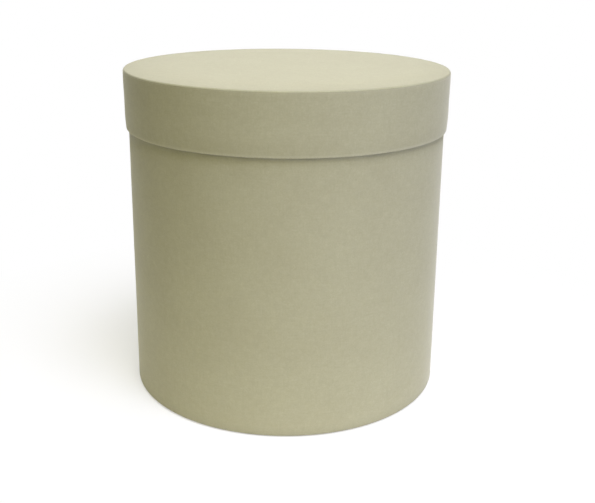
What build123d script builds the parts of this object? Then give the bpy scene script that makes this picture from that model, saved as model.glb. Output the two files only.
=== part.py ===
from build123d import *
import os
from math import cos, degrees, radians, sin

# Round keepsake box of covered greyboard, with a lid that lifts straight off.
# Millimetres, +Z up, origin on the table under the middle of the base.
# The seams of the covering are kept together at the back, towards +Y.

# Sheets and glue
cover_paper = 0.15
liner_card = 0.2
joint_tape = 0.15
glue_line = 0.05

# Boards
tube_board = 1.5
collar_board = 1.0
disc_board = 2.0
board_joint_gap = 0.5

# Body
body_radius = 100.0
tube_height = 202.0
rim_turn_in = 18.0
base_turn_under = 15.0
base_sheet_margin = 4.0
liner_below_rim = 10.0

# Lid
lid_height = 36.0
lid_clearance = 0.4
top_turn_down = 10.0
band_below_top = 1.2
lid_turn_in = 15.0
liner_above_edge = 4.0

# Seams and tape
lap_width = 10.0
lap_ramp = 2.0
tape_width = 30.0
liner_joint_gap = 0.3
liner_clearance = 0.12
trim_clearance = 0.2

# Stretch in which the band steps over the edge of the paper below it
step_run = 1.0

# Notches that let a folded edge of paper lie flat
notch_mouth = 2.4
notch_stop = 1.5
base_notches = 28
top_notches = 28

# Where the seams stand, in degrees from +X
lap_azimuth = 90.0
board_joint_azimuth = 72.0
liner_joint_azimuth = 108.0

# How far a cut runs past what it cuts
overrun = 1.0

# Heights of the body, from the table up
tabs_bottom = cover_paper + glue_line
tabs_top = tabs_bottom + cover_paper
board_bottom = tabs_top + glue_line
board_top = board_bottom + tube_height
cover_fold = board_top + glue_line
rim_top = cover_fold + cover_paper
base_disc_top = board_bottom + disc_board
floor_bottom = base_disc_top + glue_line
floor_top = floor_bottom + liner_card
turn_in_end = rim_top - rim_turn_in
body_liner_bottom = floor_top + glue_line
body_liner_top = rim_top - liner_below_rim

# Radii of the body, from the outside in
wall_glued = body_radius - cover_paper
tube_outer = wall_glued - glue_line
tube_inner = tube_outer - tube_board
inside_glued = tube_inner - glue_line
body_liner_back = inside_glued - max(cover_paper, joint_tape) - liner_clearance
tab_end = tube_outer - base_turn_under
lap_rise = cover_paper + glue_line

# Radii of the lid, from the inside out
lid_liner_face = body_radius + lid_clearance
lid_liner_back = lid_liner_face + liner_card
collar_glued = lid_liner_back + liner_clearance + max(cover_paper, joint_tape)
collar_inner = collar_glued + glue_line
collar_outer = collar_inner + collar_board
skirt_glued = collar_outer + glue_line
band_glued = skirt_glued + cover_paper + glue_line

# Heights of the lid, which rests on the rim
ceiling_top = rim_top + liner_card
lid_disc_bottom = ceiling_top + glue_line
lid_disc_top = lid_disc_bottom + disc_board
top_glued = lid_disc_top + glue_line
lid_top = top_glued + cover_paper
lid_bottom = lid_top - lid_height
edge_glued = lid_bottom + cover_paper
collar_bottom = edge_glued + glue_line
turn_down_end = lid_top - top_turn_down
step_top = turn_down_end - trim_clearance
step_bottom = step_top - step_run
band_top = lid_top - band_below_top
lid_turn_in_end = lid_bottom + lid_turn_in
lid_liner_bottom = lid_bottom + liner_above_edge
lid_liner_top = rim_top - trim_clearance


# Helpers for walls and sheets

def polar(radius, azimuth):
    """Point of the plan at this radius, with the azimuth in degrees"""
    return (radius * cos(radians(azimuth)), radius * sin(radians(azimuth)))


def arc_angle(length, radius):
    """Degrees that a length takes along a circle"""
    return degrees(length / radius)


def disc(radius, bottom, thickness):
    """Flat round blank"""
    with BuildPart() as blank:
        with BuildSketch(Plane.XY.offset(bottom)):
            Circle(radius)
        extrude(amount=thickness)
    return blank.part


def bent_strip(outer, inner, bottom, top, joint_gap, joint_azimuth):
    """Strip bent to a ring, with a narrow joint left where its two ends meet"""
    with BuildPart() as ring:
        with BuildSketch(Plane.XY.offset(bottom)):
            Circle(outer)
            Circle(inner, mode=Mode.SUBTRACT)
            with PolarLocations((outer + inner) / 2, 1, joint_azimuth):
                Rectangle(outer - inner + overrun, joint_gap, mode=Mode.SUBTRACT)
        extrude(amount=top - bottom)
    return ring.part


def tape_strip(outer, bottom, top):
    """Strip of tape stuck down the inside of a board joint"""
    spread = arc_angle(tape_width, outer)
    start = board_joint_azimuth - spread / 2
    with BuildPart() as strip:
        with BuildSketch(Plane.XY.offset(bottom)):
            with BuildLine():
                outside = CenterArc((0, 0), outer, start, spread)
                inside = CenterArc((0, 0), outer - joint_tape, start, spread)
                Line(outside @ 0, inside @ 0)
                Line(outside @ 1, inside @ 1)
            make_face()
        extrude(amount=top - bottom)
    return strip.part


def wrapped_sheet(glued_face, side):
    """Covering paper turned about the box's axis, whose glued face follows these points"""
    with BuildPart() as sheet:
        with BuildSketch(Plane.XZ):
            with BuildLine():
                Polyline(*glued_face)
                offset(amount=cover_paper, side=side, kind=Kind.INTERSECTION)
            make_face()
        revolve(axis=Axis.Z)
    return sheet.part


def lap_ridge(face, bottom, top):
    """Raised strip where a covering laps its own start, ramped on one side, with a free edge on the other"""
    root = face - cover_paper / 2
    crest = face + lap_rise
    free_edge = lap_azimuth + arc_angle(lap_width / 2, face)
    ramp_top = lap_azimuth - arc_angle(lap_width / 2, face)
    ramp_foot = ramp_top - arc_angle(lap_ramp, face)
    with BuildPart() as ridge:
        with BuildSketch(Plane.XY.offset(bottom)):
            with BuildLine():
                ramp = Line(polar(root, ramp_foot), polar(crest, ramp_top))
                over = ThreePointArc(ramp @ 1, polar(crest, lap_azimuth), polar(crest, free_edge))
                edge = Line(over @ 1, polar(root, free_edge))
                ThreePointArc(edge @ 1, polar(root, lap_azimuth), ramp @ 0)
            make_face()
        extrude(amount=top - bottom)
    return ridge.part


def notch(depth):
    """Wedge cut from a free edge of paper, its mouth at the origin and its point along +X"""
    with BuildSketch() as wedge:
        with BuildLine():
            Polyline(
                (-overrun, -notch_mouth / 2),
                (0, -notch_mouth / 2),
                (depth, 0),
                (0, notch_mouth / 2),
                (-overrun, notch_mouth / 2),
                close=True,
            )
        make_face()
    return wedge.sketch


# Body: the wall, a board strip bent to a tube
with BuildPart() as body_tube:
    add(bent_strip(tube_outer, tube_inner, board_bottom, board_top, board_joint_gap, board_joint_azimuth))
body_tube.part.label = "body_tube"

# Body: tape that holds the tube's joint from inside
with BuildPart() as body_joint_tape:
    add(tape_strip(inside_glued, floor_top + trim_clearance, turn_in_end - trim_clearance))
body_joint_tape.part.label = "body_joint_tape"

# Body: base board, glued inside the foot of the tube and flush with it
with BuildPart() as base_disc:
    add(disc(inside_glued, board_bottom, disc_board))
base_disc.part.label = "base_disc"

# Body: outer covering, turned in over the rim and turned under the base in notched tabs
with BuildPart() as body_cover_paper:
    cover_path = [
        (tab_end, tabs_top),
        (wall_glued, tabs_top),
        (wall_glued, cover_fold),
        (inside_glued, cover_fold),
        (inside_glued, turn_in_end),
    ]
    add(wrapped_sheet(cover_path, Side.RIGHT))
    add(lap_ridge(body_radius, tabs_top, cover_fold))
    with BuildSketch():
        with PolarLocations(tab_end, base_notches):
            add(notch(wall_glued - notch_stop - tab_end))
    extrude(amount=board_bottom, mode=Mode.SUBTRACT)
body_cover_paper.part.label = "body_cover_paper"

# Body: paper disc over the tabs, on which the box stands
with BuildPart() as base_sheet:
    add(disc(body_radius - base_sheet_margin, 0, cover_paper))
base_sheet.part.label = "base_sheet"

# Body: floor card on the base board
with BuildPart() as floor_card:
    add(disc(inside_glued, floor_bottom, liner_card))
floor_card.part.label = "floor_card"

# Body: wall liner, a card sleeve that stands on the floor and hides the tape and the turned-in edge
with BuildPart() as body_liner:
    add(
        bent_strip(
            body_liner_back,
            body_liner_back - liner_card,
            body_liner_bottom,
            body_liner_top,
            liner_joint_gap,
            liner_joint_azimuth,
        )
    )
body_liner.part.label = "body_liner"

# Lid: collar, a board strip bent to a ring
with BuildPart() as lid_collar:
    add(
        bent_strip(
            collar_outer,
            collar_inner,
            collar_bottom,
            lid_disc_top,
            board_joint_gap,
            board_joint_azimuth,
        )
    )
lid_collar.part.label = "lid_collar"

# Lid: tape that holds the collar's joint from inside
with BuildPart() as lid_joint_tape:
    add(tape_strip(collar_glued, lid_turn_in_end + trim_clearance, rim_top - trim_clearance))
lid_joint_tape.part.label = "lid_joint_tape"

# Lid: top board, glued inside the collar and flush with its upper edge
with BuildPart() as lid_disc:
    add(disc(collar_glued, lid_disc_bottom, disc_board))
lid_disc.part.label = "lid_disc"

# Lid: top paper, folded over the collar's upper edge and turned down it in notched tabs
with BuildPart() as lid_top_paper:
    top_path = [(0, top_glued), (skirt_glued, top_glued), (skirt_glued, turn_down_end)]
    add(wrapped_sheet(top_path, Side.LEFT))
    notch_depth = top_glued - notch_stop - turn_down_end
    for number in range(top_notches):
        azimuth = number * 360 / top_notches
        outward = Vector(*polar(1, azimuth))
        edge_middle = outward * collar_outer + Vector(0, 0, turn_down_end)
        with BuildSketch(Plane(origin=edge_middle, x_dir=(0, 0, 1), z_dir=outward)):
            add(notch(notch_depth))
        extrude(amount=overrun, mode=Mode.SUBTRACT)
lid_top_paper.part.label = "lid_top_paper"

# Lid: side paper, a band over the tabs, down the collar and turned in under its lower edge
with BuildPart() as lid_side_paper:
    band_path = [
        (band_glued, band_top),
        (band_glued, step_top),
        (skirt_glued, step_bottom),
        (skirt_glued, edge_glued),
        (collar_glued, edge_glued),
        (collar_glued, lid_turn_in_end),
    ]
    add(wrapped_sheet(band_path, Side.LEFT))
    add(lap_ridge(skirt_glued + cover_paper, edge_glued, step_bottom))
    add(lap_ridge(band_glued + cover_paper, step_bottom, band_top))
lid_side_paper.part.label = "lid_side_paper"

# Lid: wall liner, a card sleeve that hides the tape and the turned-in edge
with BuildPart() as lid_liner:
    add(
        bent_strip(
            lid_liner_back,
            lid_liner_face,
            lid_liner_bottom,
            lid_liner_top,
            liner_joint_gap,
            liner_joint_azimuth,
        )
    )
lid_liner.part.label = "lid_liner"

# Lid: ceiling card under the top board, whose edge rests on the rim of the body
with BuildPart() as ceiling_card:
    add(disc(collar_glued, rim_top, liner_card))
ceiling_card.part.label = "ceiling_card"

# One file for each piece
os.makedirs("parts", exist_ok=True)
export_step(body_tube.part, "parts/body_tube.step")
export_step(body_joint_tape.part, "parts/body_joint_tape.step")
export_step(base_disc.part, "parts/base_disc.step")
export_step(body_cover_paper.part, "parts/body_cover_paper.step")
export_step(base_sheet.part, "parts/base_sheet.step")
export_step(floor_card.part, "parts/floor_card.step")
export_step(body_liner.part, "parts/body_liner.step")
export_step(lid_collar.part, "parts/lid_collar.step")
export_step(lid_joint_tape.part, "parts/lid_joint_tape.step")
export_step(lid_disc.part, "parts/lid_disc.step")
export_step(lid_top_paper.part, "parts/lid_top_paper.step")
export_step(lid_side_paper.part, "parts/lid_side_paper.step")
export_step(lid_liner.part, "parts/lid_liner.step")
export_step(ceiling_card.part, "parts/ceiling_card.step")
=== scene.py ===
from math import atan2, cos, pi, radians, sin, tan

import bpy
import numpy as np
from mathutils import Matrix, Vector, noise


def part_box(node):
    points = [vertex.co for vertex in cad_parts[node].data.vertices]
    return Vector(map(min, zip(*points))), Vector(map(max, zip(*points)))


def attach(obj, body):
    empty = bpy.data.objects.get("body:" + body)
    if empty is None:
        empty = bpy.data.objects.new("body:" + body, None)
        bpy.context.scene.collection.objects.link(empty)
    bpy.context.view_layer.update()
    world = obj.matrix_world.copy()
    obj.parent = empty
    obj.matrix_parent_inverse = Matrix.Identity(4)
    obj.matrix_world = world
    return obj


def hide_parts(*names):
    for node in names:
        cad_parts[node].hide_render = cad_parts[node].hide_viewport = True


# Finish of the round keepsake box, in metres, +Z up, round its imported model.
# Every sheet is built from its outline in (radius, height), turned about the box's axis.

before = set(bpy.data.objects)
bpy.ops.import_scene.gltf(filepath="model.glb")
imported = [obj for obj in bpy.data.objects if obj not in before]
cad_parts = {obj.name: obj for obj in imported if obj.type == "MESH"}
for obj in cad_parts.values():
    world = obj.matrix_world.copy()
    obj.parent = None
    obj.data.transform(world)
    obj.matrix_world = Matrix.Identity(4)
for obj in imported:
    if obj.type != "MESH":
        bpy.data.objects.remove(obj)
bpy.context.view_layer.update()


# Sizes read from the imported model

def radius_of(node):
    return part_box(node)[1].x


def bottom_of(node):
    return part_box(node)[0].z


def top_of(node):
    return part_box(node)[1].z


paper = top_of("base_sheet") - bottom_of("base_sheet")
card = top_of("floor_card") - bottom_of("floor_card")
wall_radius = radius_of("body_cover_paper")
wall_bottom = bottom_of("body_cover_paper")
wall_top = top_of("body_cover_paper")
tube_outer = radius_of("body_tube")
inside_glued = radius_of("base_disc")
top_radius = radius_of("lid_top_paper")
top_height = top_of("lid_top_paper")
turn_down_end = bottom_of("lid_top_paper")
band_radius = radius_of("lid_side_paper")
band_bottom = bottom_of("lid_side_paper")
band_top = top_of("lid_side_paper")
collar_outer = radius_of("lid_collar")
collar_glued = radius_of("lid_disc")
glue = top_radius - paper - collar_outer

# Folds, as the covering is cut, and the board that it is folded round
base_turn_under = 0.015
rim_turn_in = 0.018
lid_turn_in = 0.015
tube_board = 0.0015

# The lid's side paper steps over the end of the turned-down top paper in two slight bends
step_clearance = 0.0002
step_run = 0.006
step_softness = 0.17

# How softly the covering goes round an edge of the board, as a radius
soft_fold = 0.0006
foot_fold = 0.0013
shoulder_fold = 0.0011
lip_fold = 0.0006
cut_edge = 0.00003

# The lid's lower edge hangs a little below its board, and the hand that wraps it presses it in
lip_slack = 0.0005
lip_reach = 0.011
lip_draw_outside = 0.00055
lip_draw_inside = 0.00028

# Seams stand at the back, towards +Y
lap_azimuth = radians(90)
lap_width = 0.010
lap_ramp = 0.002
lap_rise = paper + glue
lap_pressed_share = 0.4
board_joint_azimuth = radians(72)
board_joint_gap = 0.0005
liner_joint_azimuth = radians(108)
liner_joint_gap = 0.0003
joint_dent = 0.00006
joint_dent_width = 0.0022

# Notches in the folded edges of the paper, and how their place and depth vary as cut by hand:
# the noise is read at one step for each notch, in a layer of its own
notch_count = 28
notch_mouth = 0.0024
notch_stop = 0.0015
notch_sway = 0.0006
notch_sway_step, notch_sway_layer = 1.7, 0.3
notch_depth_sway = 0.0010
notch_depth_step, notch_depth_layer = 1.3, 7.9

# Dents and pleats of the covering over the notches
notch_dent = 0.00009
notch_dent_at_cut = 0.5
fold_notch_dent = 0.5 * notch_dent
fold_dent_reach = 0.003
pleat_reach = 0.008

# Unevenness of glued paper, which only sinks and is longer upwards than round the box
wave_depth = 0.00005
top_wave_depth = 1.6 * wave_depth
wave_length = 0.024
wave_upright = 0.7
wave_gain = 0.9
sink = 0.5
waves_at_cut = 0.6

# Unevenness of cut edges
edge_sway = 0.00012
band_sways, band_sway_layer = 5, 4.4
sleeve_sways = 2.2
sleeve_cut_power = 8

# The lid's top paper rises from its fold by the crown, over this reach
crown = 0.0008
crown_reach = 0.028

# Wear and painted light on the covering: above 0 a fold is rubbed paler, and at the lid's lower
# edge this also paints a highlight; below 0 the covering is darkened with painted shade, along
# the foot and round the lid's top near its fold
rub_and_highlight_reach = 0.0018
foot_shade_reach = 0.0016
shoulder_shade_reach = 0.020
rubbed_rim = 0.8
rubbed_brim = 0.5
# At the lid's lower edge the rub is partly wear and partly a painted highlight
lip_wear_and_highlight = 0.8
rubbed_lip_inside = 0.5
rubbed_cut = 0.15
# Painted shade along the foot, darker where a contact shade falls
foot_painted_shade = 1.0
# Painted shade on the lid's top, darker within the reach of its fold all round
shoulder_painted_shade = 0.3
disc_rub_reach = 0.0012
sleeve_rub_reach = 0.0008

# Fineness of the meshes
column_spacing = radians(1.0)
seam_width = 0.00002
row_spacing = 0.005
band_row_spacing = row_spacing / 4
arc_steps = 7
centre_share = 0.02
sharp_angle = radians(38)
angle_margin = 1e-6
angle_digits = 9
rounding_margin = 1e-9

# A face looks a way when that part of its normal is more than this
mostly = 0.5


# Outlines

def rounded_outline(corners, closed=False):
    """Points and outward normals along an outline whose corners are (radius, height, rounding).

    The outline is walked with its outer face on the right. Each row holds radius, height,
    the two parts of the normal and the length walked so far."""
    points = [Vector(c[:2]) for c in corners]
    count = len(corners)
    rows = []
    for i, corner in enumerate(points):
        inner_corner = closed or 0 < i < count - 1
        if not inner_corner:
            other = points[1] if i == 0 else points[-2]
            along = (other - corner if i == 0 else corner - other).normalized()
            rows.append((corner.x, corner.y, along.y, -along.x))
            continue
        came = (corner - points[i - 1]).normalized()
        goes = (points[(i + 1) % count] - corner).normalized()
        turn = atan2(came.x * goes.y - came.y * goes.x, came.dot(goes))
        rounding = corners[i][2]
        start = corner - came * rounding * tan(abs(turn) / 2)
        side = 1 if turn > 0 else -1
        centre = start + Vector((-came.y, came.x)) * rounding * side
        for step in range(arc_steps + 1):
            angle = turn * step / arc_steps
            normal = Vector((
                came.y * cos(angle) + came.x * sin(angle),
                came.y * sin(angle) - came.x * cos(angle),
            ))
            place = centre + normal * rounding * side
            rows.append((place.x, place.y, normal.x, normal.y))
    if closed:
        rows.append(rows[0])
    table = np.array(rows)
    lengths = np.hypot(np.diff(table[:, 0]), np.diff(table[:, 1]))
    walked = np.concatenate([[0], np.cumsum(lengths)])
    return np.column_stack([table, walked])


def refined(stops, spacing):
    """The same stops, with more of them wherever two are further apart than the spacing"""
    fine = []
    for a, b in zip(stops[:-1], stops[1:]):
        parts = max(1, int(np.ceil((b - a) / spacing - rounding_margin)))
        fine.extend(a + (b - a) * np.arange(parts) / parts)
    return np.array([*fine, stops[-1]])


def along(outline, walked):
    """Radius, height and normal of the outline at these walked lengths"""
    return [np.interp(walked, outline[:, 4], outline[:, column]) for column in range(4)]


def fold_spots(outline, corners, numbers):
    """Walked lengths at which the outline passes nearest to these corners"""
    spots = []
    for number in numbers:
        radius, height, _ = corners[number]
        nearest = np.argmin(np.hypot(outline[:, 0] - radius, outline[:, 1] - height))
        spots.append(outline[nearest, 4])
    return spots


# Azimuths of the columns of a mesh

def notch_places(seed):
    """Azimuth and extra depth of each notch, a little uneven as cut by hand"""
    places = []
    for number in range(notch_count):
        sway = noise.noise(Vector((number * notch_sway_step, seed, notch_sway_layer)))
        deeper = noise.noise(Vector((number * notch_depth_step, seed, notch_depth_layer)))
        azimuth = number * 2 * pi / notch_count + sway * notch_sway / wall_radius
        places.append((azimuth, deeper * notch_depth_sway))
    return places


def column_azimuths(start, end, stops=()):
    """Azimuths from start to end, with these stops among them where they fall inside"""
    inside = set()
    for stop in stops:
        turned = start + (stop - start) % (2 * pi)
        if start + angle_margin < turned < end - angle_margin:
            inside.add(round(turned, angle_digits))
    return refined(np.array([start, *sorted(inside), end]), column_spacing)


def seam_columns(radius, notches):
    """Columns of a sheet whose free edge lies at the lap, which starts and ends there"""
    free_edge = lap_azimuth + lap_width / 2 / radius
    gap = seam_width / radius
    ramp_top = lap_azimuth - lap_width / 2 / radius
    stops = [ramp_top, ramp_top - lap_ramp / radius, board_joint_azimuth]
    for side in (-1, 1):
        stops.append(board_joint_azimuth + side * joint_dent_width / radius / 2)
    for azimuth, _ in notches:
        for share in (-1, -0.5, 0, 0.5, 1):
            stops.append(azimuth + share * notch_mouth / 2 / radius)
    return column_azimuths(free_edge + gap, free_edge + 2 * pi - gap, stops)


def joint_columns(radius, joint_azimuth, joint_gap):
    """Columns of a strip bent to a ring, whose two ends stop at its joint"""
    half = joint_gap / 2 / radius
    return column_azimuths(joint_azimuth + half, joint_azimuth + 2 * pi - half)


def nearest_turn(azimuth, middle):
    """Signed angle from the middle to the azimuth, at most half a turn"""
    return (azimuth - middle + pi) % (2 * pi) - pi


def notch_share(azimuths, radius, notches):
    """How far each azimuth lies inside a notch, and the extra depth of that notch.

    The share is 0 outside the notches and 1 at the point of one."""
    share = np.zeros_like(azimuths)
    deeper = np.zeros_like(azimuths)
    for azimuth, extra in notches:
        off = np.abs(nearest_turn(azimuths, azimuth)) * radius
        inside = np.clip(1 - off / (notch_mouth / 2), 0, 1)
        deeper = np.where(inside > share, extra, deeper)
        share = np.maximum(share, inside)
    return share, deeper


def lap_share(azimuths, radius):
    """Height of the lap at each azimuth: 0 beside it, 1 on it, with a ramp on one side"""
    off = nearest_turn(azimuths, lap_azimuth) * radius
    ramp = np.interp(off, [-lap_width / 2 - lap_ramp, -lap_width / 2], [0, 1])
    return np.where(off > lap_width / 2, 0, ramp)


def joint_dip(azimuths, radius):
    """Smooth dip of the covering over the joint of the board, 1 at its middle and 0 beside it"""
    off = np.abs(nearest_turn(azimuths, board_joint_azimuth)) * radius
    dip = (1 + np.cos(2 * pi * off / joint_dent_width)) / 2
    return np.where(off < joint_dent_width / 2, dip, 0)


# Unevenness of the surfaces and edges

def waves(r, z, azimuths, seed):
    """Gentle unevenness from -1 to 0 over a surface"""
    values = np.empty(r.shape)
    x, y = r * np.cos(azimuths), r * np.sin(azimuths)
    for place in np.ndindex(r.shape):
        spot = Vector((x[place], y[place], z[place] * wave_upright)) / wave_length
        values[place] = noise.noise(spot + Vector((seed, 0, 0)))
    return np.clip(values * wave_gain - sink, -1, 0)


def cut_sway(azimuths, sways, layer):
    """How far a cut edge falls short of its line at each azimuth, in metres and below 0"""
    spots = [Vector((cos(a) * sways, sin(a) * sways, layer)) for a in azimuths]
    values = np.array([noise.noise(spot) for spot in spots])
    return edge_sway * np.clip(values - sink, -1, 0)


def near(walked, spots, reach):
    """How close each walked length is to the nearest of the (spot, strength).

    It is the strength at the spot and 0 from the reach on."""
    value = np.zeros_like(walked)
    for spot, strength in spots:
        closeness = np.clip(1 - np.abs(walked - spot) / reach, 0, 1)
        value = np.maximum(value, strength * closeness)
    return value


def lip_draw(height, amount):
    """How far the lid is pressed in at this height above its lower edge"""
    share = np.clip(1 - height / lip_reach, 0, 1)
    return amount * share * share


# Meshes

def give_points(mesh, name, kind, key, values):
    """Stores a value at each point of the mesh, for its material to read"""
    attribute = mesh.attributes.new(name, kind, "POINT")
    attribute.data.foreach_set(key, values.astype(np.float32).ravel())


def turned_mesh(name, r, z, azimuths, place, wear_and_painted_light, poles=False, open_ends=False, pleats=0.0):
    """Closed mesh from the rows of a cross-section, turned about the axis.

    r and z hold one row for each point of the section and one column for each azimuth.
    With poles the section starts and ends on the axis, else it is a loop.
    With open ends the ring stops at its first and last column."""
    rows, columns = r.shape
    x, y = r * np.cos(azimuths), r * np.sin(azimuths)
    vertices = np.stack([x, y, z], axis=-1).reshape(-1, 3)
    flat = np.broadcast_to(place, (rows, columns, 2)).reshape(-1, 2)
    worn_and_painted_light = np.broadcast_to(wear_and_painted_light, (rows, columns)).reshape(-1)
    gathered = np.broadcast_to(pleats, (rows, columns)).reshape(-1)
    faces = []
    for i in range(rows - 1 if poles else rows):
        here, upper = i * columns, (i + 1) % rows * columns
        for j in range(columns - 1 if open_ends else columns):
            right = (j + 1) % columns
            faces.append((here + j, here + right, upper + right, upper + j))
    if poles:
        first, last = len(vertices), len(vertices) + 1
        final_row = (rows - 1) * columns
        ends = np.array([(0, 0, z[0].mean()), (0, 0, z[-1].mean())])
        vertices = np.concatenate([vertices, ends])
        flat = np.concatenate([flat, np.zeros((2, 2))])
        worn_and_painted_light = np.concatenate([worn_and_painted_light, np.zeros(2)])
        gathered = np.concatenate([gathered, np.zeros(2)])
        for j in range(columns):
            right = (j + 1) % columns
            faces.append((first, right, j))
            faces.append((last, final_row + j, final_row + right))
    if open_ends:
        faces += strip_end(rows, columns, 0, False)
        faces += strip_end(rows, columns, columns - 1, True)
    mesh = bpy.data.meshes.new(name)
    mesh.from_pydata(vertices.tolist(), [], faces)
    flat_3d = np.column_stack([flat, np.zeros(len(flat))])
    give_points(mesh, "flat_place", "FLOAT_VECTOR", "vector", flat_3d)
    give_points(mesh, "edge_wear_and_painted_light", "FLOAT", "value", worn_and_painted_light)
    give_points(mesh, "pleat_share", "FLOAT", "value", gathered)
    mesh.polygons.foreach_set("use_smooth", np.ones(len(mesh.polygons), dtype=bool))
    mesh.update()
    mesh.set_sharp_from_angle(angle=sharp_angle)
    piece = bpy.data.objects.new(name, mesh)
    bpy.context.scene.collection.objects.link(piece)
    return piece


def strip_end(rows, columns, column, far):
    """Quads that close the end of an open ring, between the two halves of its section"""
    faces = []
    for i in range(rows // 2 - 1):
        quad = [i, i + 1, rows - 2 - i, rows - 1 - i]
        face = tuple(row * columns + column for row in quad)
        faces.append(face[::-1] if far else face)
    return faces


def both_faces(values):
    """The rows for the outer face forwards, then the same for the inner face backwards"""
    return np.concatenate([values, values[::-1]])


def sheet_section(outline, walked, lift, thicker):
    """Radii and heights of a paper's two faces along its outline.

    The lift moves both faces outwards, and the outer face stands out further where the
    paper is thicker."""
    r, z, normal_r, normal_z = along(outline, walked)
    outer = lift + thicker
    inner = lift - paper
    rows_r = np.concatenate([r + normal_r * outer, (r + normal_r * inner)[::-1]])
    rows_z = np.concatenate([z + normal_z * outer, (z + normal_z * inner)[::-1]])
    return rows_r, rows_z


def wound_place(azimuths, radius, height):
    """Where each point of a strip wound round the box lies with the strip laid flat"""
    round_box = np.broadcast_to((azimuths - azimuths[0]) * radius, height.shape)
    return np.stack([both_faces(round_box), both_faces(height)], axis=-1)


def tabbed(stops, tab_zone, reach, share, deeper):
    """Walked lengths of each column of a sheet whose first zone is cut into tabs.

    The columns inside a notch start later, the deepest by the reach and its extra depth."""
    trims = np.where(share > 0, share * np.clip(reach + deeper, 0, tab_zone - cut_edge), 0)
    left = np.clip(1 - stops / tab_zone, 0, None)[:, None]
    return stops[:, None] + left * trims[None, :]


# Body

def body_cover():
    """Covering of the wall: notched tabs under the base, the wall, the rim, the turned-in edge"""
    tab_end = tube_outer - base_turn_under
    inner_face = inside_glued - paper
    corners = [
        (tab_end, wall_bottom, 0),
        (wall_radius, wall_bottom, foot_fold),
        (wall_radius, wall_top, soft_fold),
        (inner_face, wall_top, soft_fold),
        (inner_face, wall_top - rim_turn_in, 0),
    ]
    outline = rounded_outline(corners)
    foot, rim, brim = fold_spots(outline, corners, (1, 2, 3))
    notches = notch_places(seed=1)
    azimuths = seam_columns(wall_radius, notches)
    stops = refined(outline[:, 4], row_spacing)
    share, deeper = notch_share(azimuths, wall_radius, notches)
    tab_zone = wall_radius - foot_fold - tab_end
    reach = wall_radius - notch_stop - tab_end
    walked = tabbed(stops, tab_zone, reach, share, deeper)
    r, z = along(outline, walked)[:2]
    wall_rows = [foot, foot + row_spacing, rim - row_spacing, rim]
    on_wall = np.interp(walked, wall_rows, [0, 1, 1, 0])
    lift = wave_depth * waves(r, z, azimuths, seed=3) * on_wall
    lift -= joint_dent * joint_dip(azimuths, wall_radius) * on_wall
    lap_rows = [foot, foot + soft_fold, rim - soft_fold, rim]
    on_lap = np.interp(walked, lap_rows, [0, 1, 1, lap_pressed_share])
    thicker = lap_rise * lap_share(azimuths, wall_radius) * on_lap
    rows_r, rows_z = sheet_section(outline, walked, lift, thicker)
    rubbed = near(walked, ((rim, rubbed_rim), (brim, rubbed_brim)), rub_and_highlight_reach)
    # Painted shade: the covering darker along the foot, where the box meets the floor and a
    # contact shade falls
    foot_shade = near(walked, ((foot, foot_painted_shade),), foot_shade_reach)
    return turned_mesh(
        "body_covering", rows_r, rows_z, azimuths,
        wound_place(azimuths, wall_radius, walked), both_faces(rubbed - foot_shade),
    )


def flat_disc(name, node, seed, wave=wave_depth, upper=True):
    """Round blank in the place of its CAD node, a little uneven on its free face"""
    radius, low, high = radius_of(node), bottom_of(node), top_of(node)
    centre = radius * centre_share
    corners = [
        (centre, low, 0),
        (radius, low, cut_edge),
        (radius, high, cut_edge),
        (centre, high, 0),
    ]
    outline = rounded_outline(corners)
    stops = refined(outline[:, 4], row_spacing)
    azimuths = column_azimuths(0, 2 * pi - column_spacing)
    walked = np.repeat(stops[:, None], len(azimuths), axis=1)
    r, z, _, normal_z = along(outline, walked)
    free = (normal_z if upper else -normal_z) > mostly
    from_edge = np.clip((radius - r) / row_spacing, 0, 1)
    uneven = wave * waves(r, np.zeros_like(z), azimuths, seed) * free * from_edge
    z = z + uneven * normal_z
    place = np.stack([r * np.cos(azimuths), r * np.sin(azimuths)], axis=-1)
    wear_and_painted_light = np.clip(1 - (radius - r) / disc_rub_reach, 0, 1)
    return turned_mesh(name, r, z, azimuths, place, wear_and_painted_light, poles=True)


def sleeve(name, node, seed, free_top):
    """Card sleeve bent to a ring, with its joint, a little uneven along its free edge"""
    outer, low, high = radius_of(node), bottom_of(node), top_of(node)
    azimuths = joint_columns(outer, liner_joint_azimuth, liner_joint_gap)
    heights = refined(np.array([low, low + cut_edge, high - cut_edge, high]), row_spacing)
    z = np.repeat(heights[:, None], len(azimuths), axis=1)
    r = np.full(z.shape, outer - card)
    cut = cut_sway(azimuths, sleeve_sways, seed)
    reach = np.clip((z - low if free_top else high - z) / (high - low), 0, 1)
    z = z + (cut if free_top else -cut) * reach ** sleeve_cut_power
    bow = wave_depth * waves(r, z, azimuths, seed)
    rows_r = np.concatenate([r + card, (r + bow)[::-1]])
    near_edge = np.clip(1 - np.minimum(z - low, high - z) / sleeve_rub_reach, 0, 1)
    return turned_mesh(
        name, rows_r, both_faces(z), azimuths,
        wound_place(azimuths, outer, z), both_faces(near_edge), open_ends=True,
    )


def board_ring(name, corners):
    """Board strip bent to a ring, whose section has these rounded corners"""
    outline = rounded_outline(corners, closed=True)[:-1]
    azimuths = joint_columns(outline[:, 0].max(), board_joint_azimuth, board_joint_gap)
    r = np.repeat(outline[:, 0][:, None], len(azimuths), axis=1)
    z = np.repeat(outline[:, 1][:, None], len(azimuths), axis=1)
    u = np.broadcast_to((azimuths - azimuths[0]) * tube_outer, z.shape)
    place = np.stack([u, z], axis=-1)
    return turned_mesh(name, r, z, azimuths, place, 0.0, open_ends=True)


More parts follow.
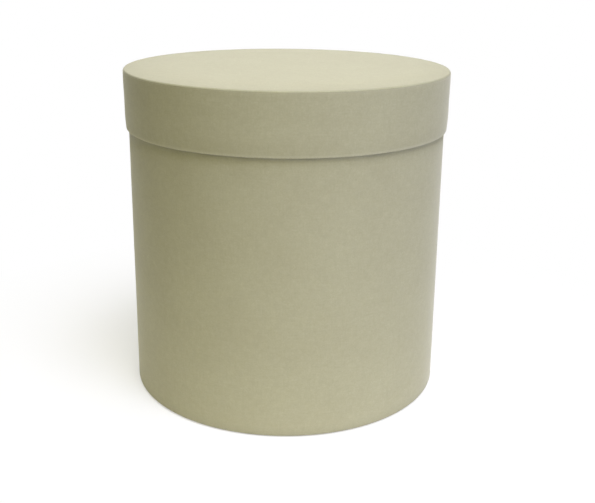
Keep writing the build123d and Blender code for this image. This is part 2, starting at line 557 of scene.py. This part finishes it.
def tube_ring():
    """Wall board of the body, its outer edges softened by wrapping"""
    inner, outer = tube_outer - tube_board, tube_outer
    low, high = bottom_of("body_tube"), top_of("body_tube")
    return board_ring("body_wall_board", [
        (inner, high, cut_edge),
        (inner, low, cut_edge),
        (outer, low, foot_fold - paper - glue),
        (outer, high, soft_fold - paper - glue),
    ])


# Lid

def lid_band():
    """Side paper of the lid: turned in, round the lower edge, up the skirt and over the tabs"""
    inner_face = collar_glued - paper
    lip_bottom = band_bottom - lip_slack
    step_top = turn_down_end - step_clearance
    skirt = band_radius - paper - glue
    corners = [
        (inner_face, band_bottom + lid_turn_in, 0),
        (inner_face, lip_bottom, lip_fold),
        (skirt, lip_bottom, lip_fold),
        (skirt, step_top - step_run, step_softness),
        (band_radius, step_top, step_softness),
        (band_radius, band_top, 0),
    ]
    outline = rounded_outline(corners)
    inside, lip = fold_spots(outline, corners, (1, 2))
    end = outline[-1, 4]
    notches = notch_places(seed=2)
    azimuths = seam_columns(band_radius, notches)
    stops = refined(outline[:, 4], band_row_spacing)
    walked = np.repeat(stops[:, None], len(azimuths), axis=1)
    r, z, normal_r, _ = along(outline, walked)
    skirt_rows = [lip, lip + row_spacing, end - row_spacing, end]
    on_skirt = np.interp(walked, skirt_rows, [0, 1, 1, waves_at_cut])
    lift = wave_depth * waves(r, z, azimuths, seed=5) * on_skirt
    lift -= joint_dent * joint_dip(azimuths, band_radius) * on_skirt
    share, _ = notch_share(azimuths, band_radius, notches)
    tab_rows = [step_top, step_top + row_spacing / 2, band_top]
    over_tabs = np.interp(z, tab_rows, [0, 1, notch_dent_at_cut])
    outside = normal_r > mostly
    lift -= notch_dent * share * over_tabs * outside
    on_lap = np.interp(walked, [lip, lip + soft_fold], [0, 1])
    thicker = lap_rise * lap_share(azimuths, band_radius) * on_lap
    rows_r, rows_z = sheet_section(outline, walked, lift, thicker)
    outward = np.clip((rows_r - inner_face) / (skirt - inner_face), 0, 1)
    draw = lip_draw_inside + (lip_draw_outside - lip_draw_inside) * outward
    rows_r = rows_r - lip_draw(rows_z - band_bottom, draw)
    near_cut = np.clip(1 - (band_top - rows_z) / row_spacing, 0, 1)
    rows_z = rows_z + cut_sway(azimuths, band_sways, band_sway_layer) * near_cut
    # The lower edge is paler, partly wear and partly a painted highlight
    spots = ((inside, rubbed_lip_inside), (lip, lip_wear_and_highlight), (end, rubbed_cut))
    gathered = np.clip(1 - (band_top - rows_z) / pleat_reach, 0, 1) ** 2
    return turned_mesh(
        "lid_side_covering", rows_r, rows_z, azimuths,
        wound_place(azimuths, band_radius, walked), both_faces(near(walked, spots, rub_and_highlight_reach)),
        pleats=gathered,
    )


def lid_top():
    """Top paper of the lid: notched tabs down the skirt, the fold and the slightly crowned top"""
    centre = top_radius * centre_share
    corners = [
        (top_radius, turn_down_end, 0),
        (top_radius, top_height, shoulder_fold),
        (centre, top_height, 0),
    ]
    outline = rounded_outline(corners)
    fold = fold_spots(outline, corners, (1,))[0]
    notches = notch_places(seed=2)
    azimuths = seam_columns(top_radius, notches)
    stops = refined(outline[:, 4], row_spacing)
    share, deeper = notch_share(azimuths, top_radius, notches)
    tab_zone = top_height - shoulder_fold - turn_down_end
    reach = top_height - notch_stop - turn_down_end
    walked = tabbed(stops, tab_zone, reach, share, deeper)
    r, z = along(outline, walked)[:2]
    on_top = np.interp(walked, [fold, fold + 2 * row_spacing], [0, 1])
    lift = top_wave_depth * waves(r, np.zeros_like(z), azimuths, seed=8) * on_top
    inward = np.clip((top_radius - shoulder_fold - r) / crown_reach, 0, 1)
    lift += crown * (1 - (1 - inward) ** 2)
    near_fold = np.clip(1 - np.abs(walked - fold) / fold_dent_reach, 0, 1)
    lift -= fold_notch_dent * share * near_fold
    rows_r, rows_z = sheet_section(outline, walked, lift, 0)
    spread = both_faces(outline[-1, 4] - walked + centre)
    # Painted shade: the top paper darker within the reach of its fold
    wear_and_painted_light = both_faces(-near(walked, ((fold, shoulder_painted_shade),), shoulder_shade_reach))
    half = len(stops)
    rows_r, rows_z, spread, wear_and_painted_light = (
        np.roll(rows, half, axis=0) for rows in (rows_r, rows_z, spread, wear_and_painted_light)
    )
    place = np.stack([spread * np.cos(azimuths), spread * np.sin(azimuths)], axis=-1)
    return turned_mesh("lid_top_covering", rows_r, rows_z, azimuths, place, wear_and_painted_light, poles=True)


def collar_ring():
    """Skirt board of the lid, pressed in along its lower edge"""
    inner, outer = collar_glued + glue, collar_outer
    low, high = bottom_of("lid_collar"), top_of("lid_collar")
    painted_shade = low + lip_reach
    return board_ring("lid_skirt_board", [
        (inner, high, cut_edge),
        (inner, painted_shade, cut_edge),
        (inner - lip_draw_inside, low, cut_edge),
        (outer - lip_draw_outside, low, lip_fold - paper - glue),
        (outer, painted_shade, cut_edge),
        (outer, high, shoulder_fold - paper - glue),
    ])


# Node helpers

class Nodes:
    """Node tree with short calls to add and join nodes"""

    def __init__(self, tree):
        self.tree = tree

    def add(self, kind, **settings):
        node = self.tree.nodes.new(kind)
        for key, value in settings.items():
            setattr(node, key, value)
        return node

    def join(self, source, target):
        self.tree.links.new(source, target)

    def scaled(self, source, scale):
        """The coordinates times a scale for each direction"""
        node = self.add("ShaderNodeMapping")
        node.inputs["Scale"].default_value = scale
        self.join(source, node.inputs["Vector"])
        return node.outputs["Vector"]

    def noise(self, source, scale=1, detail=2.0, roughness=0.5):
        node = self.add("ShaderNodeTexNoise")
        node.inputs["Scale"].default_value = scale
        node.inputs["Detail"].default_value = detail
        node.inputs["Roughness"].default_value = roughness
        self.join(source, node.inputs["Vector"])
        return node.outputs["Fac"]

    def ranged(self, source, given, wanted):
        """The value moved from the given range to the wanted one, and held inside it"""
        node = self.add("ShaderNodeMapRange")
        ends = ("From Min", "From Max", "To Min", "To Max")
        for key, value in zip(ends, (*given, *wanted)):
            node.inputs[key].default_value = value
        self.join(source, node.inputs["Value"])
        return node.outputs["Result"]

    def maths(self, operation, first, second):
        node = self.add("ShaderNodeMath", operation=operation)
        for socket, value in zip(node.inputs, (first, second)):
            if isinstance(value, (int, float)):
                socket.default_value = value
            else:
                self.join(value, socket)
        return node.outputs["Value"]

    def summed(self, first, first_share, second, second_share):
        """The two values, each times its share, added"""
        first_part = self.maths("MULTIPLY", first, first_share)
        second_part = self.maths("MULTIPLY", second, second_share)
        return self.maths("ADD", first_part, second_part)

    def mixed(self, factor, first, second):
        """Colour between two colours or colour sockets"""
        node = self.add("ShaderNodeMix", data_type="RGBA")
        self.join(factor, node.inputs["Factor"])
        for name, value in (("A", first), ("B", second)):
            socket = [s for s in node.inputs if s.name == name and s.type == "RGBA"][0]
            if isinstance(value, tuple):
                socket.default_value = (*value, 1)
            else:
                self.join(value, socket)
        return [s for s in node.outputs if s.type == "RGBA"][0]

    def object_place(self):
        return self.add("ShaderNodeTexCoord").outputs["Object"]

    def distance(self, place, centre):
        node = self.add("ShaderNodeVectorMath", operation="DISTANCE")
        self.join(place, node.inputs[0])
        node.inputs[1].default_value = centre
        return node.outputs["Value"]

    def part(self, vector, axis):
        """One part of a vector, X, Y or Z"""
        node = self.add("ShaderNodeSeparateXYZ")
        self.join(vector, node.inputs["Vector"])
        return node.outputs[axis]


class Shader(Nodes):
    """Node tree of one new material"""

    def __init__(self, name):
        self.material = bpy.data.materials.new(name)
        self.material.use_nodes = True
        super().__init__(self.material.node_tree)
        self.surface = self.tree.nodes["Principled BSDF"]

    def bumped(self, height, distance, strength):
        node = self.add("ShaderNodeBump")
        node.inputs["Strength"].default_value = strength
        node.inputs["Distance"].default_value = distance
        self.join(height, node.inputs["Height"])
        self.join(node.outputs["Normal"], self.surface.inputs["Normal"])

    def attribute(self, name):
        return self.add("ShaderNodeAttribute", attribute_name=name)

    def set_surface(self, values):
        """Gives plain values to inputs of the surface"""
        for name, value in values.items():
            self.surface.inputs[name].default_value = value


# Materials. Scales of noise are in spots for each metre, and heights are in metres.

# The whole of a value, and the middle of a noise, outside which it seldom goes
whole = (0, 1)
noise_middle = (0.3, 0.7)

# Covering paper: its threads and the gathers at its folds lie across and along the sheet. Each
# strength goes with the range of the noise, or of the wear and painted light, before it.
cover_colour = (0.455, 0.437, 0.300)
# Colour of a rubbed fold, also used for the painted highlight along the lid's lower edge
rub_and_highlight_colour = (0.70, 0.68, 0.53)
threads_across, threads_along = 1150, 110
gathers_across, gathers_along = 330, 22
cloud_share, mottle_share = 0.3, 0.7
pulp_share, thread_share = 0.6, 0.4
tone_range = (0.36, 0.64)
grain_range, grain_strength = (0.38, 0.66), (0, 0.34)
# Painted shade: how dark the covering is painted where the edge value is below 0, along the foot
# and by the lid's top fold
painted_shade_range, painted_shade_strength = (-1, 0), (0.45, 0)
# Rub, with the painted highlight at the lid's lower edge
rub_and_highlight_range, rub_and_highlight_strength = (0.4, 0.6), (0.3, 0.7)
cover_roughness = (0.57, 0.69)
cover_gloss = 0.36
cover_sheen = 0.28
cover_sheen_roughness = 0.35
grain_height = 0.00004
gather_height = 0.0002

# Lining card
lining_colour = (0.84, 0.83, 0.78)
pore_range, pore_strength = (0.4, 0.75), (0, 0.12)
lining_roughness = (0.5, 0.62)
pore_height = 0.00003

# Greyboard, whose layers lie flat. The noise is high at a dark fleck and low at a pale one.
board_colour = (0.36, 0.33, 0.29)
layering = (1, 1, 3)
dark_range, dark_strength = (0.56, 0.7), (0, 0.6)
pale_range, pale_strength = (0.42, 0.3), (0, 0.5)
board_roughness = 0.85
fleck_height = 0.00012

# Gummed tape, whose fibres stand upright
tape_colour = (0.45, 0.31, 0.17)
fibres_across, fibres_along = 900, 90
tape_roughness = 0.5
fibre_height = 0.00004


def tinted(colour, factor, warmer=0.0):
    """The colour, lighter or darker by the factor and a little warmer or cooler"""
    red, green, blue = colour
    return (red * factor * (1 + warmer), green * factor, blue * factor * (1 - warmer))


def cover_material():
    """Matt dyed paper: soft mottle, pulp grain and a faint laid cross-grain.

    It is paler where a fold is rubbed, and paler still at the lid's lower edge, where this paints
    a highlight. It is darker with painted shade along the foot and round the lid's top near its
    fold, which is where the edge value is below 0."""
    shader = Shader("sage_cover_paper")
    place = shader.attribute("flat_place").outputs["Vector"]
    cloud = shader.noise(place, scale=34, detail=3, roughness=0.6)
    mottle = shader.noise(place, scale=240, detail=5, roughness=0.8)
    pulp = shader.noise(place, scale=1000, detail=3, roughness=0.6)
    across = shader.noise(shader.scaled(place, (threads_across, threads_along, 1)))
    down = shader.noise(shader.scaled(place, (threads_along, threads_across, 1)))
    threads = shader.maths("MAXIMUM", across, down)

    deep_dye = tinted(cover_colour, 0.93, warmer=0.012)
    pale_dye = tinted(cover_colour, 1.075, warmer=-0.012)
    tone = shader.summed(cloud, cloud_share, mottle, mottle_share)
    dyed = shader.mixed(shader.ranged(tone, tone_range, whole), deep_dye, pale_dye)

    grain = shader.summed(pulp, pulp_share, threads, thread_share)
    grain_dye = tinted(cover_colour, 0.72)
    grained = shader.mixed(shader.ranged(grain, grain_range, grain_strength), dyed, grain_dye)

    # Edge value: above 0 a rubbed fold, paler, with a painted highlight at the lid's lower edge;
    # below 0 painted shade
    edge = shader.attribute("edge_wear_and_painted_light").outputs["Fac"]
    # Painted shade where the edge value is below 0
    painted_shade_share = shader.ranged(edge, painted_shade_range, painted_shade_strength)
    painted_shade = shader.mixed(painted_shade_share, grained, tinted(cover_colour, 0.55))
    # Rub, partly wear and, at the lid's lower edge, a painted highlight
    uneven_rub_and_highlight = shader.ranged(pulp, rub_and_highlight_range, rub_and_highlight_strength)
    rub_and_highlight = shader.maths("MULTIPLY", shader.ranged(edge, whole, whole), uneven_rub_and_highlight)
    worn_and_painted_light = shader.mixed(rub_and_highlight, painted_shade, rub_and_highlight_colour)
    shader.join(worn_and_painted_light, shader.surface.inputs["Base Color"])

    roughness = shader.ranged(pulp, noise_middle, cover_roughness)
    shader.join(roughness, shader.surface.inputs["Roughness"])
    shader.set_surface({
        "Specular IOR Level": cover_gloss,
        "Sheen Weight": cover_sheen,
        "Sheen Roughness": cover_sheen_roughness,
    })

    pleats = shader.noise(shader.scaled(place, (gathers_across, gathers_along, 1)))
    pleat_share = shader.attribute("pleat_share").outputs["Fac"]
    gathered = shader.maths("MULTIPLY", pleats, pleat_share)
    height = shader.summed(grain, grain_height, gathered, gather_height)
    shader.bumped(height, distance=1.0, strength=0.8)
    return shader.material


def lining_material():
    """White card with a fine smooth surface"""
    shader = Shader("white_lining_card")
    place = shader.object_place()
    broad = shader.noise(place, scale=28, detail=3)
    fine = shader.noise(place, scale=1500, detail=3, roughness=0.6)
    deeper = tinted(lining_colour, 0.97, warmer=0.01)
    paler = tinted(lining_colour, 1.01)
    cloud = shader.mixed(shader.ranged(broad, noise_middle, whole), deeper, paler)
    pores = tinted(lining_colour, 0.8, warmer=0.02)
    grain = shader.mixed(shader.ranged(fine, pore_range, pore_strength), cloud, pores)
    shader.join(grain, shader.surface.inputs["Base Color"])
    roughness = shader.ranged(fine, noise_middle, lining_roughness)
    shader.join(roughness, shader.surface.inputs["Roughness"])
    shader.bumped(fine, distance=pore_height, strength=0.6)
    return shader.material


def board_material():
    """Greyboard of recycled pulp: grey-brown with pale and dark flecks and a layered cut edge"""
    shader = Shader("greyboard")
    place = shader.object_place()
    broad = shader.noise(place, scale=60, detail=4)
    flecks = shader.noise(shader.scaled(place, layering), scale=700, detail=4, roughness=0.7)
    deeper = tinted(board_colour, 0.88, warmer=0.02)
    paler = tinted(board_colour, 1.1)
    cloud = shader.mixed(shader.ranged(broad, noise_middle, whole), deeper, paler)
    dark_fleck = tinted(board_colour, 0.55)
    dark = shader.mixed(shader.ranged(flecks, dark_range, dark_strength), cloud, dark_fleck)
    pale_fleck = tinted(board_colour, 1.7)
    pale = shader.mixed(shader.ranged(flecks, pale_range, pale_strength), dark, pale_fleck)
    shader.join(pale, shader.surface.inputs["Base Color"])
    shader.set_surface({"Roughness": board_roughness})
    shader.bumped(flecks, distance=fleck_height, strength=0.7)
    return shader.material


def tape_material():
    """Brown gummed paper tape with long fibres"""
    shader = Shader("gummed_tape")
    upright = shader.scaled(shader.object_place(), (fibres_across, fibres_across, fibres_along))
    fibres = shader.noise(upright, detail=3, roughness=0.6)
    deeper, paler = tinted(tape_colour, 0.85), tinted(tape_colour, 1.12)
    tone = shader.mixed(shader.ranged(fibres, noise_middle, whole), deeper, paler)
    shader.join(tone, shader.surface.inputs["Base Color"])
    shader.set_surface({"Roughness": tape_roughness})
    shader.bumped(fibres, distance=fibre_height, strength=0.6)
    return shader.material


def dress(piece, body, slot, material, *nodes):
    """Gives a new piece its material and its place in the table, in the stead of its CAD nodes"""
    piece.data.materials.append(material)
    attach(piece, body)
    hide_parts(*nodes)


def repaint(node, material):
    """Gives a CAD node that stays its material"""
    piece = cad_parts[node]
    if not piece.material_slots:
        piece.data.materials.append(material)
    for slot in piece.material_slots:
        slot.link = "OBJECT"
        slot.material = material


# Stage. The box stands on a pale sheet on a grey floor, and light comes up from both. To the
# eye the floor, the backdrop and the world are white, but for the box's shadow near it.

white = 1.0
floor_drop = 0.0002
floor_reach = 9.0
sheet_colour = (0.93, 0.91, 0.82)
floor_colour = (0.20, 0.20, 0.20)
seen_colour = (0.95, 0.95, 0.95)
floor_roughness = 0.9
floor_gloss = 0.1

# The sheet's middle lies behind the box, and the sheet fades into the floor between two radii
sheet_back = 0.10
sheet_inner = 0.34
sheet_outer = 0.62

# The shadow is half washed out within the first radius and gone from the second on
pool_inner = 0.10
pool_outer = 0.30
shadow_softened = 0.5

# Weak even light of the world
ambient_light = (0.082, 0.078, 0.012)

# A mirror or glass would show a dim room before the box and white behind it, which pass into
# each other within this part of the world's direction and this many metres of the floor
room_level = 0.1
backdrop_edge = 0.3
backdrop_reach = 0.2


def seen_by_eye(nodes, behind):
    """1 for rays from the eye, and for mirrored rays as far as they go behind the box"""
    path = nodes.add("ShaderNodeLightPath").outputs
    mirrored = nodes.maths("MAXIMUM", path["Is Glossy Ray"], path["Is Transmission Ray"])
    mirrored_behind = nodes.maths("MULTIPLY", mirrored, behind)
    return nodes.maths("MAXIMUM", path["Is Camera Ray"], mirrored_behind)


def floor():
    """Pale sheet under the box on a grey floor.

    It takes the box's shadow, passes into white to the eye and can be seen through from below."""
    mesh = bpy.data.meshes.new("floor")
    sides = ((-1, -1), (1, -1), (1, 1), (-1, 1))
    corners = [(x * floor_reach, y * floor_reach, -floor_drop) for x, y in sides]
    mesh.from_pydata(corners, [], [(0, 1, 2, 3)])
    piece = bpy.data.objects.new("floor", mesh)
    bpy.context.scene.collection.objects.link(piece)

    shader = Shader("floor")
    shader.set_surface({"Roughness": floor_roughness, "Specular IOR Level": floor_gloss})
    place = shader.object_place()
    from_box = shader.distance(place, (0, 0, 0))
    from_sheet = shader.distance(place, (0, sheet_back, 0))
    beside_sheet = shader.ranged(from_sheet, (sheet_inner, sheet_outer), whole)
    behind = shader.ranged(shader.part(place, "Y"), (-backdrop_reach, backdrop_reach), whole)
    seen = seen_by_eye(shader, behind)
    lit = shader.mixed(beside_sheet, sheet_colour, floor_colour)
    shader.join(shader.mixed(seen, lit, seen_colour), shader.surface.inputs["Base Color"])

    backdrop = shader.add("ShaderNodeEmission")
    backdrop.inputs["Strength"].default_value = white
    mix = shader.add("ShaderNodeMixShader")
    outside = shader.ranged(from_box, (pool_inner, pool_outer), (shadow_softened, 1))
    shader.join(shader.maths("MULTIPLY", outside, seen), mix.inputs["Fac"])
    shader.join(shader.surface.outputs["BSDF"], mix.inputs[1])
    shader.join(backdrop.outputs["Emission"], mix.inputs[2])

    below = shader.add("ShaderNodeMixShader")
    clear = shader.add("ShaderNodeBsdfTransparent")
    geometry = shader.add("ShaderNodeNewGeometry")
    shader.join(geometry.outputs["Backfacing"], below.inputs["Fac"])
    shader.join(mix.outputs["Shader"], below.inputs[1])
    shader.join(clear.outputs["BSDF"], below.inputs[2])
    output = shader.tree.nodes["Material Output"]
    shader.join(below.outputs["Shader"], output.inputs["Surface"])
    mesh.materials.append(shader.material)


def surroundings():
    """White to the eye and behind the box, a dimmer room before it, and a weak even light"""
    world = bpy.data.worlds.new("studio")
    bpy.context.scene.world = world
    world.use_nodes = True
    nodes = Nodes(world.node_tree)
    depth = nodes.part(nodes.add("ShaderNodeTexCoord").outputs["Generated"], "Y")
    behind = nodes.ranged(depth, (-backdrop_edge, backdrop_edge), (room_level, 1))
    sky = nodes.mixed(seen_by_eye(nodes, behind), ambient_light, (white, white, white))
    nodes.join(sky, nodes.tree.nodes["Background"].inputs["Color"])


def soft_box(name, azimuth, elevation, distance, size, power, colour):
    """Square soft light that faces the middle of the box.

    The azimuth goes to the right from the viewer's side, and both angles are in degrees."""
    lamp = bpy.data.lights.new(name, "AREA")
    lamp.shape = "SQUARE"
    lamp.size = size
    lamp.energy = power
    lamp.color = colour
    piece = bpy.data.objects.new(name, lamp)
    aim = Vector((0, 0, top_height / 2))
    a, e = radians(azimuth), radians(elevation)
    piece.location = aim + Vector((sin(a) * cos(e), -cos(a) * cos(e), sin(e))) * distance
    piece.rotation_euler = (piece.location - aim).to_track_quat("Z", "Y").to_euler()
    piece.visible_camera = False
    bpy.context.scene.collection.objects.link(piece)


def lights():
    """A large key light overhead, and three weak ones from the side, the front and behind"""
    soft_box(
        "key_soft_box", azimuth=26, elevation=68, distance=2.4, size=1.2,
        power=52.5, colour=(0.99, 1.0, 1.18),
    )
    soft_box(
        "side_soft_box", azimuth=41, elevation=22, distance=1.4, size=0.9,
        power=4.0, colour=(0.92, 1.0, 1.68),
    )
    soft_box(
        "front_soft_box", azimuth=2, elevation=46, distance=1.4, size=0.9,
        power=3.8, colour=(1.12, 1.0, 0.05),
    )
    soft_box(
        "back_soft_box", azimuth=180, elevation=25, distance=1.6, size=0.9,
        power=6.0, colour=(1.04, 1.0, 0.80),
    )


# Camera, found from the outline of the box in the photograph

photo_width = 595
photo_height = 503
focal_length_pixels = 894.3
principal_row = 212.0
camera_back = 0.56825
camera_height = 0.27725
camera_yaw = radians(0.755)
camera_pitch = radians(16.498)
camera_roll = radians(0.608)
sensor_width = 36.0
nearest_seen = 0.01
furthest_seen = 100


def camera():
    """Camera with the lens and place that the photograph was taken from"""
    data = bpy.data.cameras.new("camera")
    data.sensor_width = sensor_width
    data.lens = focal_length_pixels / photo_width * sensor_width
    data.shift_y = (principal_row - photo_height / 2) / photo_width
    data.clip_start = nearest_seen
    data.clip_end = furthest_seen
    piece = bpy.data.objects.new("camera", data)
    forward = Vector((
        sin(camera_yaw) * cos(camera_pitch),
        cos(camera_yaw) * cos(camera_pitch),
        -sin(camera_pitch),
    ))
    level = Vector((cos(camera_yaw), -sin(camera_yaw), 0))
    upright = level.cross(forward)
    right = level * cos(camera_roll) + upright * sin(camera_roll)
    up = upright * cos(camera_roll) - level * sin(camera_roll)
    turn = Matrix((right, up, -forward)).transposed()
    piece.matrix_world = Matrix.Translation((0, -camera_back, camera_height)) @ turn.to_4x4()
    bpy.context.scene.collection.objects.link(piece)
    bpy.context.scene.camera = piece


# The scene

bpy.context.scene.view_settings.view_transform = "Standard"

cover = cover_material()
lining = lining_material()
board = board_material()
tape = tape_material()

wall_covering = body_cover()
base_covering = flat_disc("base_covering", "base_sheet", seed=11, wave=0, upper=False)
floor_lining = flat_disc("floor_lining", "floor_card", seed=13)
wall_lining = sleeve("wall_lining", "body_liner", seed=17, free_top=True)
wall_board = tube_ring()
top_covering = lid_top()
side_covering = lid_band()
lid_lining = sleeve("lid_lining", "lid_liner", seed=19, free_top=False)
ceiling_lining = flat_disc("ceiling_lining", "ceiling_card", seed=23, upper=False)
skirt_board = collar_ring()

dress(wall_covering, "box", "cover", cover, "body_cover_paper")
dress(base_covering, "box", "cover", cover, "base_sheet")
dress(floor_lining, "box", "lining", lining, "floor_card")
dress(wall_lining, "box", "lining", lining, "body_liner")
dress(wall_board, "box", "board", board, "body_tube")
dress(top_covering, "lid", "cover", cover, "lid_top_paper")
dress(side_covering, "lid", "cover", cover, "lid_side_paper")
dress(lid_lining, "lid", "lining", lining, "lid_liner")
dress(ceiling_lining, "lid", "lining", lining, "ceiling_card")
dress(skirt_board, "lid", "board", board, "lid_collar")
for node in ("base_disc", "lid_disc"):
    repaint(node, board)
for node in ("body_joint_tape", "lid_joint_tape"):
    repaint(node, tape)

floor()
surroundings()
lights()
camera()
